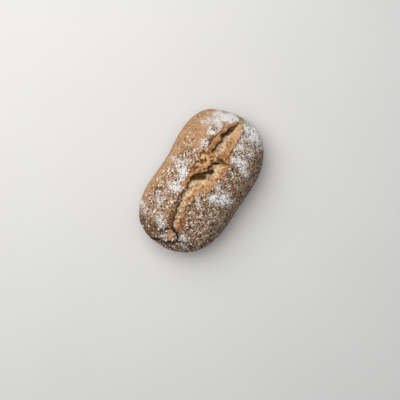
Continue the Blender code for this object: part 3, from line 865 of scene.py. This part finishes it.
def flake_density(x, y):
    """Share of the places seen from above that carry large flakes."""
    shape_x = x / HALF_LENGTH
    shape_y = y / HALF_WIDTH
    if math.hypot(shape_x, shape_y) > outline_reach(math.atan2(shape_y, shape_x)):
        return 0.0
    left, right = slash_edges(x)
    if right - CLEAR_RIGHT_OF_SLASH < y < left + CLEAR_LEFT_OF_SLASH:
        return 0.0
    if y < right:
        return 1.0
    smooth_end = ramp(x, *SMOOTH_END_ALONG) * ramp(y, *SMOOTH_END_ACROSS)
    smooth_side = ramp(y, *SMOOTH_SIDE_ACROSS)
    brown_corner = ramp(-x, *BROWN_CORNER_ALONG) * ramp(y, *BROWN_CORNER_ACROSS)
    return LEFT_SIDE_DENSITY * (1 - max(smooth_end, smooth_side, brown_corner))


def flake_places():
    """Seeded draw of large flakes, the largest first: place from above, length, width, turn and tilt."""
    draw = random.Random(SEED)
    lengths = sorted((draw.uniform(*FLAKE_LENGTHS) for _ in range(FLAKE_COUNT)), reverse=True)
    places = []
    for _ in range(FLAKE_TRIES):
        if len(places) == FLAKE_COUNT:
            break
        x = draw.uniform(-HALF_LENGTH, HALF_LENGTH)
        y = draw.uniform(-HALF_WIDTH, HALF_WIDTH)
        kept = draw.random() < flake_density(x, y)
        if not kept or any(math.hypot(x - place[0], y - place[1]) < FLAKE_SPACING for place in places):
            continue
        length = lengths[len(places)]
        width = length * draw.uniform(*FLAKE_WIDTH_SHARE)
        places.append((x, y, length, width, draw.uniform(0, math.tau), draw.uniform(-FLAKE_TILT, FLAKE_TILT)))
    return places


def flake_template(rings):
    """Closed flake of half width one: rings as (share, height), then a top and a bottom centre."""
    points, faces = [], []
    for share, height in rings:
        for side in range(FLAKE_SIDES):
            angle = math.tau * side / FLAKE_SIDES
            points.append((share * math.cos(angle), share * math.sin(angle), height))
    for ring in range(len(rings) - 1):
        for side in range(FLAKE_SIDES):
            n = (side + 1) % FLAKE_SIDES
            low, high = ring * FLAKE_SIDES, (ring + 1) * FLAKE_SIDES
            faces.append((low + side, low + n, high + n, high + side))
    top = len(points)
    points += [(0, 0, rings[-1][1] * TOP_DIP), (0, 0, rings[0][1])]
    last = (len(rings) - 1) * FLAKE_SIDES
    for side in range(FLAKE_SIDES):
        n = (side + 1) % FLAKE_SIDES
        faces.append((last + side, last + n, top))
        faces.append((n, side, top + 1))
    return np.array(points), faces


def scatter_piece(name, places, rings, draw):
    """One joined piece of flakes; a place is centre, normal, three sizes, turn, tilt and flour."""
    template, template_faces = flake_template(rings)
    points, faces, tints, flours, shaded = [], [], [], [], []
    for centre, normal, size, turn, tilt, flour in places:
        shape = template * (1 + draw.uniform(-UNEVENNESS, UNEVENNESS, (len(template), 1)) * UNEVEN_AXES)
        shape = shape * np.array(size) / 2
        shape[:, 2] += draw.uniform(*CURL) * size[2] * (shape[:, 0] / size[0] * 2) ** 2
        up = Vector(normal).normalized()
        side = up.orthogonal().normalized()
        along = side * math.cos(turn) + up.cross(side) * math.sin(turn)
        leaning = up * math.cos(tilt) + along.cross(up) * math.sin(tilt)
        across = leaning.cross(along)
        axes = np.array([along, across, leaning])
        offset = len(points)
        points.extend(shape @ axes + np.array(centre))
        faces.extend(tuple(i + offset for i in face) for face in template_faces)
        tints.extend([draw.random()] * len(template))
        flours.extend([flour] * len(template))
        shaded.extend([ramp(centre[1], *SHADED_SIDE)] * len(template))
    piece = new_piece(name, points, faces, False)
    add_mark(piece, "tint", tints)
    add_mark(piece, "flour", flours)
    add_mark(piece, "shaded", shaded)
    return piece


def large_flakes(tree, draw):
    """The solid's own flakes at the places it has them, laid on the search tree of the crust."""
    places = []
    for x, y, length, width, turn, tilt in flake_places():
        hit, normal, _, _ = tree.ray_cast(Vector((x, y, 2 * DOME_HEIGHT)), Vector((0, 0, -1)))
        if hit is None or normal.z < STEEPEST_FLAKE:
            continue
        centre = hit + normal * FLAKE_LIFT
        flour = flour_at(x, y)
        places.append((centre, normal, (length, width, FLAKE_THICKNESS), turn, math.radians(tilt), flour))
    return scatter_piece("large_flakes", places, THICK_FLAKE, draw)


def on_block(x, y):
    """How far a place belongs to the smooth block between the cracks, from 0 to 1."""
    away = math.hypot(x - BLOCK_MIDDLE[0], y - BLOCK_MIDDLE[1])
    return ramp(away, BLOCK_RADIUS, BLOCK_RADIUS / 2)


def topping_density(x, y, z, up):
    """How thickly small flakes lie at a place on the crust, from 0 to 1."""
    left, right = slash_edges(x)
    on_lip = left - SEEDED_LIP < y and x < SEEDED_LIP_END
    if slash_open(x) > OPEN_FROM and right + 1 < y < left + 1 and not on_lip:
        return 0.0
    tip_along, tip_across, tip_bareness = UPPER_TIP
    thick = ramp(z, *TOPPED_HEIGHTS) * ramp(up, *TOPPED_SLOPES)
    thick *= 1 - ramp(x, *tip_along) * ramp(y, *tip_across) * tip_bareness
    if x < UNCRACKED_FROM:
        distance = crack_distance(Vector((x, y, z)))
        cleared = ramp(distance, CRACK_HALF_WIDTH, CRACK_HALF_WIDTH + CRACK_CLEARANCE)
        thick *= mix(1, cleared, ramp(y, *CRACK_CLEARING_FADE))
    clumps = noise.noise((x / CLUMP_LENGTH, y / CLUMP_LENGTH, CLUMP_ROW))
    thick *= mix(LEAST_CLUMP, 1, ramp(clumps, *CLUMP_LIMITS)) * (1 - on_block(x, y) * BLOCK_BARENESS)
    if y < right or x < SEEDED_RIM_END and y < 0:
        return thick
    end = mix(*BARE_END_EDGES, ramp(x, *BARE_END_TURN))
    bare_end = ramp(x, *BARE_END_ALONG) * ramp(y, end, end + BARE_END_FADE) * BARE_END_BARENESS
    side = mix(*BARE_SIDE_EDGES, ramp(-x, *BARE_SIDE_TURN))
    bare_side = ramp(y, side, side + BARE_SIDE_FADE)
    corner_along, corner_across, corner_bareness = BROWN_CORNER
    brown_corner = ramp(-x, *corner_along) * ramp(y, *corner_across) * corner_bareness
    return thick * (1 - max(bare_end, bare_side, brown_corner))


def scatter_places(placed, normals, faces, density, count, lengths, widths, thickness, spacing, draw):
    """Seeded places on the crust, spread by a density and kept a spacing apart."""
    quads = np.array([face for face in faces if len(face) == 4])
    corners = placed[quads]
    areas = np.linalg.norm(np.cross(corners[:, 2] - corners[:, 0], corners[:, 3] - corners[:, 1]), axis=1)
    picks = draw.choice(len(quads), size=count * TRIES_FOR_EACH, p=areas / areas.sum())
    weights = draw.dirichlet((1.0, 1.0, 1.0, 1.0), len(picks))
    taken = {}
    places = []
    for pick, weight in zip(picks, weights):
        if len(places) == count:
            break
        centre = weight @ corners[pick]
        normal = weight @ normals[quads[pick]]
        if draw.random() > density(*centre, normal[2]):
            continue
        cell = tuple(int(v // spacing) for v in centre)
        near = [taken.get((cell[0] + i, cell[1] + j, cell[2] + k)) for i, j, k in NEIGHBOURS]
        if any(other is not None and np.linalg.norm(other - centre) < spacing for other in near):
            continue
        taken[cell] = centre
        length = mix(*lengths, draw.random() ** SMALL_SIZES)
        size = (length, length * draw.uniform(*widths), thickness * draw.uniform(*THICKNESS_CHANGE))
        centre = centre + normal * size[2] * LIFT_SHARE
        turn, tilt = draw.uniform(0, math.tau), draw.normal(0, LEAN)
        places.append((centre, normal, size, turn, tilt, flour_at(centre[0], centre[1])))
    return places


def grain_density(x, y, z, up):
    """How thickly loose flour grains lie, from 0 to 1."""
    left, right = slash_edges(x)
    if slash_open(x) > OPEN_FROM and right + 2 < y < left:
        return 0.0
    return max(LEAST_GRAINS, flour_at(x, y)) * ramp(z, *GRAIN_HEIGHTS)


def tone(red, green, blue):
    """Linear colour of an sRGB colour given from 0 to 255."""
    channels = []
    for value in (red / 255, green / 255, blue / 255):
        channels.append(value / 12.92 if value <= 0.04045 else ((value + 0.055) / 1.055) ** 2.4)
    return (*channels, 1.0)


class Paint:
    """Node graph of one procedural material, with sizes in millimetres of object space."""

    def __init__(self, name, roughness, specular):
        self.material = bpy.data.materials.new(name)
        self.material.use_nodes = True
        self.tree = self.material.node_tree
        self.shader = self.tree.nodes["Principled BSDF"]
        self.shader.inputs["Roughness"].default_value = roughness
        self.shader.inputs["Specular IOR Level"].default_value = specular
        scaled = self.add("ShaderNodeVectorMath", operation="SCALE")
        scaled.inputs["Scale"].default_value = 1 / MM
        self.link(self.add("ShaderNodeTexCoord").outputs["Object"], scaled.inputs[0])
        self.place = scaled.outputs[0]
        separate = self.add("ShaderNodeSeparateXYZ")
        self.link(self.place, separate.inputs[0])
        self.along, self.across, self.up = separate.outputs
        self.ragged = self.shifted(*SPOT_FRAY)

    def add(self, kind, **settings):
        """New node with some of its settings."""
        node = self.tree.nodes.new(kind)
        for name, value in settings.items():
            setattr(node, name, value)
        return node

    def link(self, value, socket):
        """Join a socket, or set a plain value or an sRGB colour."""
        if isinstance(value, bpy.types.NodeSocket):
            self.tree.links.new(value, socket)
        else:
            socket.default_value = tone(*value) if isinstance(value, tuple) else value

    def noise_node(self, wavelength, detail, rough):
        """Noise of about one wavelength."""
        node = self.add("ShaderNodeTexNoise")
        self.link(self.place, node.inputs["Vector"])
        node.inputs["Scale"].default_value = 1 / wavelength
        node.inputs["Detail"].default_value = detail
        node.inputs["Roughness"].default_value = rough
        return node

    def noise(self, wavelength, detail=4.0, rough=0.7):
        """Soft noise of about one wavelength, from 0 to 1."""
        return self.noise_node(wavelength, detail, rough).outputs["Fac"]

    def patches(self, low, high, *sizes):
        """Soft-edged patches: noise of some sizes, stepped from low to high."""
        return self.ramp(self.noise(*sizes), low, high)

    def wander(self, amount, *sizes):
        """Noise about zero, of some sizes and up to half an amount each way."""
        return self.product(self.sum(self.noise(*sizes), -0.5), amount)

    def shifted(self, wavelength, amount):
        """Place moved about by noise, for ragged edges."""
        centred = self.add("ShaderNodeVectorMath", operation="SUBTRACT")
        self.link(self.noise_node(wavelength, 2.0, 0.5).outputs["Color"], centred.inputs[0])
        centred.inputs[1].default_value = (0.5, 0.5, 0.5)
        moved = self.add("ShaderNodeVectorMath", operation="MULTIPLY_ADD")
        self.link(centred.outputs[0], moved.inputs[0])
        moved.inputs[1].default_value = (amount, amount, amount)
        self.link(self.place, moved.inputs[2])
        return moved.outputs[0]

    def spots(self, size, share, radius):
        """Ragged spots in a share of the cells of one size, each reaching a radius given in cells."""
        node = self.add("ShaderNodeTexVoronoi")
        self.link(self.ragged, node.inputs["Vector"])
        node.inputs["Scale"].default_value = 1 / size
        separate = self.add("ShaderNodeSeparateColor")
        self.link(node.outputs["Color"], separate.inputs[0])
        chosen = self.ramp(separate.outputs[0], share + 0.02, share)
        sizes = self.sum(self.product(separate.outputs[1], 0.9), 0.5)
        near = self.chain("DIVIDE", node.outputs["Distance"], sizes)
        return self.product(self.ramp(near, radius, radius * 0.6), chosen)

    def mark(self, name):
        """Number stored on the piece's vertices."""
        return self.add("ShaderNodeAttribute", attribute_name=name).outputs["Fac"]

    def ramp(self, value, low, high):
        """Smooth step from 0 at low to 1 at high."""
        node = self.add("ShaderNodeMapRange", interpolation_type="SMOOTHSTEP")
        self.link(value, node.inputs["Value"])
        node.inputs["From Min"].default_value = low
        node.inputs["From Max"].default_value = high
        return node.outputs["Result"]

    def sum(self, *values):
        """Sum of values."""
        return self.chain("ADD", *values)

    def product(self, *values):
        """Product of values."""
        return self.chain("MULTIPLY", *values)

    def chain(self, operation, *values):
        """One operation applied along a row of values."""
        result = values[0]
        for value in values[1:]:
            node = self.add("ShaderNodeMath", operation=operation)
            self.link(result, node.inputs[0])
            self.link(value, node.inputs[1])
            result = node.outputs[0]
        return result

    def blend(self, first, second, share):
        """Colour between two others."""
        node = self.add("ShaderNodeMix", data_type="RGBA")
        self.link(share, node.inputs[0])
        self.link(first, node.inputs[6])
        self.link(second, node.inputs[7])
        return node.outputs[2]

    def coats(self, colour, *coats):
        """Colours laid over a first one in turn, each given with the shares that multiply to its cover."""
        for coat, *shares in coats:
            colour = self.blend(colour, coat, self.product(*shares))
        return colour

    def finish(self, colour, height, depth, rough=None):
        """Join colour, bump and roughness to the shader."""
        bump = self.add("ShaderNodeBump")
        bump.inputs["Distance"].default_value = depth * MM
        self.link(height, bump.inputs["Height"])
        self.link(bump.outputs["Normal"], self.shader.inputs["Normal"])
        self.link(colour, self.shader.inputs["Base Color"])
        if rough is not None:
            self.link(rough, self.shader.inputs["Roughness"])
        return self.material


def floured(paint, colour, flour):
    """Flour lying in grains over a colour: the more of it, the closer the grains."""
    grains = paint.sum(paint.noise(2.6, 5.0, 0.8), paint.product(paint.noise(0.8, 2.0, 0.6), 0.6))
    cover = paint.ramp(paint.sum(paint.product(flour, 0.54), grains), 0.99, 1.1)
    cover = paint.product(cover, paint.ramp(flour, 0.03, 0.25))
    # Painted light: flour whiter towards the shaded side.
    painted_light_white = paint.blend(*FLOUR_PAINTED_BRIGHTER_IN_SHADE, paint.ramp(paint.across, -8, -40))
    return paint.coats(colour, (DUST, flour, 0.3), (painted_light_white, cover, 0.95)), cover


def crust_material():
    """Baked crust, torn crust, crumb, cracks and the flour over them, with painted shade under the lip, in
    hollows, grooves, creases and cracks.
    """
    paint = Paint("crust", 0.8, 0.25)
    fine = paint.noise(1.3)
    ragged = paint.wander(0.5, 2.4, 3.0)
    marks = {name: paint.mark(name) for name in MARKS}
    torn = torn_colour(paint, marks, fine)
    ridge = paint.coats(
        torn,
        (RIDGE_UPPER_END, paint.ramp(paint.along, 72, 90), 0.7),
        (BURNT, marks["flap"], paint.patches(0.42, 0.56, 3.6), 0.85),
    )
    deep = paint.sum(marks["deep"], paint.product(ragged, 0.7))
    colour = paint.coats(
        baked_colour(paint, marks, fine),
        (crumb_colour(paint, marks), paint.ramp(paint.sum(marks["crumb"], ragged), 0.4, 0.6)),
        (ridge, paint.ramp(paint.sum(marks["ridge"], paint.wander(1.6, 6.0, 3.0, 0.6)), 0.35, 0.8)),
        (torn, paint.ramp(paint.sum(marks["torn"], ragged), 0.4, 0.6)),
        # Painted shade under the lip, darkest in the recess and hollows.
        (UNDER_LIP_SHADE, paint.ramp(deep, 0.12, 0.5), 0.85),
        (paint.blend(*DEEPEST_SHADE, paint.patches(0.5, 0.64, 4.0)), paint.ramp(deep, 0.5, 0.95), 0.92),
        # Painted shade in the groove, the skin crease and the flap's creases.
        (GROOVE_AND_CREASE_SHADE, paint.ramp(marks["groove"], 0.1, 0.8), 0.9),
        # Painted shade in the cracks.
        (CRACK_PAINTED_SHADE, paint.ramp(marks["crack"], 0.15, 0.7), 0.95),
    )
    opened = paint.chain("MAXIMUM", marks["torn"], marks["crumb"], marks["ridge"])
    lines = paint.chain("MAXIMUM", marks["groove"], paint.ramp(marks["crack"], 0.1, 0.6))
    closed = paint.sum(1.0, paint.product(opened, -0.9))
    clear = paint.sum(1.0, paint.product(lines, -1.0))
    colour, cover = floured(paint, colour, paint.product(closed, clear, marks["flour"]))
    # Dark specks in the flour: husks, and more of them towards the shaded side as painted shade.
    husk_shade_specks = paint.product(paint.spots(4.0, 0.62, 0.42), paint.ramp(paint.across, 4, -12), 0.95)
    husks = paint.sum(paint.product(paint.spots(3.2, 0.4, 0.3), 0.85), husk_shade_specks)
    colour = paint.coats(colour, (FLOURED_HUSK_AND_SHADE, paint.chain("MINIMUM", husks, 0.9), marks["flour"]))
    finest = paint.product(paint.noise(0.5, 3.0), 0.35)
    grain = paint.sum(paint.product(fine, 0.6), finest, paint.product(cover, 0.3))
    rough = paint.sum(0.72, paint.product(paint.noise(3.0, 3.0, 0.6), 0.25))
    return paint.finish(colour, grain, 0.7, rough)


def baked_colour(paint, marks, fine):
    """Baked crust: bare tan parts, browner seeded parts with husks that darken towards the shaded side,
    partly as painted shade, and the narrow end, brown and partly painted shade.
    """
    mottle = paint.noise(7.0, 5.0, 0.65)
    broad = paint.noise(30.0, 3.0, 0.5)
    seeds = marks["seeds"]
    shaded_side = paint.ramp(paint.sum(paint.across, paint.product(broad, 14)), 26, -4)
    # Share of the narrow end, darkened as a browner bake and partly as painted shade.
    narrow_end = paint.ramp(paint.sum(paint.along, paint.product(broad, 16)), -74, -93)
    lower = paint.ramp(paint.up, 42, 10)
    # The seeded crust darkens towards the shaded side and its rim, partly as a browner bake, partly as
    # painted shade.
    seeded = paint.coats(
        paint.blend(*SEEDED_BAKE_AND_SHADE, shaded_side),
        (SEEDED_RIM_BAKE_AND_SHADE, paint.ramp(paint.across, -24, -60)),
        (SEEDED_ORANGE, paint.patches(0.54, 0.68, 15.0, 3.0, 0.6), 0.5),
        (SEEDED_GREY, paint.patches(0.55, 0.72, 10.0), 0.25),
    )
    return paint.coats(
        paint.blend(*TAN, paint.ramp(mottle, 0.36, 0.66)),
        (TAN_SPOT, paint.spots(4.5, 0.25, 0.3), 0.6),
        (TAN_SPECK, paint.ramp(fine, 0.52, 0.74), 0.45),
        (seeded, seeds, 0.9),
        (NARROW_END_BROWN_AND_SHADE, narrow_end, 0.9),
        (paint.blend(*SIDES, paint.patches(0.44, 0.64, 14.0, 5.0)), lower, 0.8),
        (SIDE_SPECK, lower, paint.ramp(fine, 0.5, 0.7), 0.5),
        (BASE_RIM, paint.ramp(paint.up, 10, 1), 0.7),
        (BROWN_HUSK, seeds, paint.spots(2.8, 0.45, 0.5), 0.85),
        (PALE_HUSK, seeds, paint.spots(2.3, 0.38, 0.45), 0.8),
        (DARK_HUSK, seeds, paint.spots(1.9, 0.28, 0.4), 0.9),
        (paint.blend(*BLOCK, paint.ramp(mottle, 0.4, 0.62)), marks["block"], 0.9),
    )


def crumb_colour(paint, marks):
    """Soft crumb: greyish cream beside the hollow as painted shade, golden in the middle and browned towards
    the ridge, with painted shade in its pores and low parts.
    """
    across = paint.sum(marks["across"], paint.wander(1.1, 8.0, 3.0, 0.6))
    return paint.coats(
        # Greyish cream beside the hollow is painted shade; golden further across.
        paint.blend(*CRUMB_SHADED_TO_GOLDEN, paint.ramp(across, 0.05, 0.4)),
        (CRUMB_BESIDE_RIDGE, paint.ramp(across, 0.64, 1.0), 0.85),
        (CRUMB_PALE, paint.patches(0.48, 0.6, 3.4), 0.75),
        (CRUMB_BROWN, paint.patches(0.54, 0.64, 6.0, 5.0, 0.75), 0.75),
        (CRUMB_DARK, paint.patches(0.55, 0.64, 13.0), 0.5),
        (CRUMB_END, paint.ramp(paint.along, -48, -62), paint.patches(0.42, 0.56, 5.0, 3.0, 0.6), 0.7),
        # Painted shade in the pores.
        (CRUMB_PORE_SHADE, paint.spots(2.2, 0.3, 0.4), 0.7),
        # Painted shade in the crumb's low parts.
        (CRUMB_PAINTED_SHADE, paint.ramp(marks["relief"], -0.4, -2.2), 0.6),
    )


def torn_colour(paint, marks, fine):
    """Torn crust, orange-brown and paler towards the upper end, with painted highlight on its raised edges
    and crags and painted shade in its creases and low parts.
    """
    mottle = paint.sum(paint.product(paint.noise(4.6, 5.0), 0.7), paint.product(fine, 0.3))
    reddish = paint.blend(*TORN_REDDISH, paint.patches(0.42, 0.6, 3.0))
    return paint.coats(
        paint.blend(*TORN, paint.ramp(mottle, 0.39, 0.57)),
        (TORN_FLAP, marks["flap"], 0.6),
        (TORN_UPPER_END, paint.ramp(paint.along, 80, 92), paint.patches(0.4, 0.52, 3.2, 3.0, 0.6), 0.85),
        # Painted highlight on raised crags.
        (TORN_PAINTED_HIGHLIGHT, paint.ramp(marks["relief"], 1.0, 3.2), 0.6),
        (reddish, paint.ramp(paint.along, -34, -50), 0.85),
        # Painted shade in low parts.
        (TORN_PAINTED_SHADE, paint.ramp(marks["relief"], -0.2, -2.6), 0.75),
    )


def flake_material(name, tones, flour_gain):
    """Flakes of three colours drawn by their tint, with fine streaks, painted shade towards the shaded rim
    and flour.
    """
    paint = Paint(name, 0.75, 0.3)
    tint = paint.mark("tint")
    colour = paint.coats(
        paint.blend(*tones[:2], paint.ramp(tint, 0.3, 0.5)),
        (tones[2], paint.ramp(tint, 0.6, 0.85)),
        (tones[2], paint.patches(0.5, 0.75, 0.8, 3.0), 0.45),
        # Painted shade: flakes darker towards the shaded rim.
        (SHADED_FLAKE, paint.mark("shaded"), 0.55),
    )
    colour, cover = floured(paint, colour, paint.product(paint.mark("flour"), flour_gain))
    height = paint.sum(paint.product(paint.noise(0.5, 3.0), 0.7), paint.product(cover, 0.3))
    return paint.finish(colour, height, 0.25)


def flour_material():
    """Loose flour in little clumps."""
    paint = Paint("flour", 0.95, 0.1)
    colour = paint.blend(*LOOSE_FLOUR, paint.ramp(paint.mark("tint"), 0.3, 1.0))
    return paint.finish(colour, paint.noise(0.3, 3.0), 0.2)


def floor_material():
    """Pale plain floor."""
    paint = Paint("floor", 0.9, 0.1)
    return paint.finish(paint.blend(*FLOOR, paint.noise(160.0, 2.0, 0.5)), paint.noise(2.0, 2.0, 0.5), 0.05)


def build_pieces():
    """Crust and toppings, each painted and attached to the root body."""
    draw = np.random.default_rng(SEED)
    crust, placed, normals = build_crust()
    faces = [tuple(polygon.vertices) for polygon in crust.data.polygons]
    tree = BVHTree.FromPolygons([tuple(point) for point in placed], faces)
    pieces = [crust, large_flakes(tree, draw)]
    for name, density, sizes in (
        ("oat_flakes", topping_density, OATS),
        ("bran_flakes", topping_density, BRANS),
        ("flour_grains", grain_density, FLOUR_GRAINS),
    ):
        places = scatter_places(placed, normals, faces, density, *sizes, draw)
        pieces.append(scatter_piece(name, places, THIN_FLAKE, draw))
    materials = (
        crust_material(),
        flake_material("mixed_flake", MIXED_TONES, 0.8),
        flake_material("oat", OAT_TONES, 0.9),
        flake_material("bran", BRAN_TONES, 0.25),
        flour_material(),
    )
    for piece, material in zip(pieces, materials):
        piece.data.materials.append(material)
        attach(piece, "root")
        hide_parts("loaf")


def add_light(name, direction, distance, size, watts, colour):
    """Soft square light aimed at the loaf's middle."""
    data = bpy.data.lights.new(name, "AREA")
    data.size = size
    data.energy = watts
    data.color = colour
    light = bpy.data.objects.new(name, data)
    middle = Vector((0, 0, GIRTH_HEIGHT * MM))
    light.location = middle + Vector(direction).normalized() * distance
    light.rotation_euler = (middle - light.location).to_track_quat("-Z", "Y").to_euler()
    bpy.context.scene.collection.objects.link(light)


def set_stage():
    """Floor, lights and the soft light of the room."""
    bpy.ops.mesh.primitive_plane_add(size=FLOOR_SIZE)
    floor = bpy.context.active_object
    floor.name = "floor"
    floor.data.materials.append(floor_material())
    for light in LIGHTS:
        add_light(*light)
    world = bpy.data.worlds.new("room")
    world.use_nodes = True
    world.node_tree.nodes["Background"].inputs["Color"].default_value = ROOM_COLOUR
    world.node_tree.nodes["Background"].inputs["Strength"].default_value = ROOM_STRENGTH
    bpy.context.scene.world = world
    bpy.context.scene.view_settings.view_transform = "Standard"


def set_camera():
    """Camera straight over the loaf, turned so that the loaf's length runs up to the right."""
    data = bpy.data.cameras.new("camera")
    data.lens = LENS
    data.sensor_width = SENSOR_WIDTH
    camera = bpy.data.objects.new("camera", data)
    camera.location = CAMERA_PLACE
    camera.rotation_euler = (0, 0, -math.radians(CAMERA_TURN))
    bpy.context.scene.collection.objects.link(camera)
    bpy.context.scene.camera = camera


build_pieces()
set_stage()
set_camera()
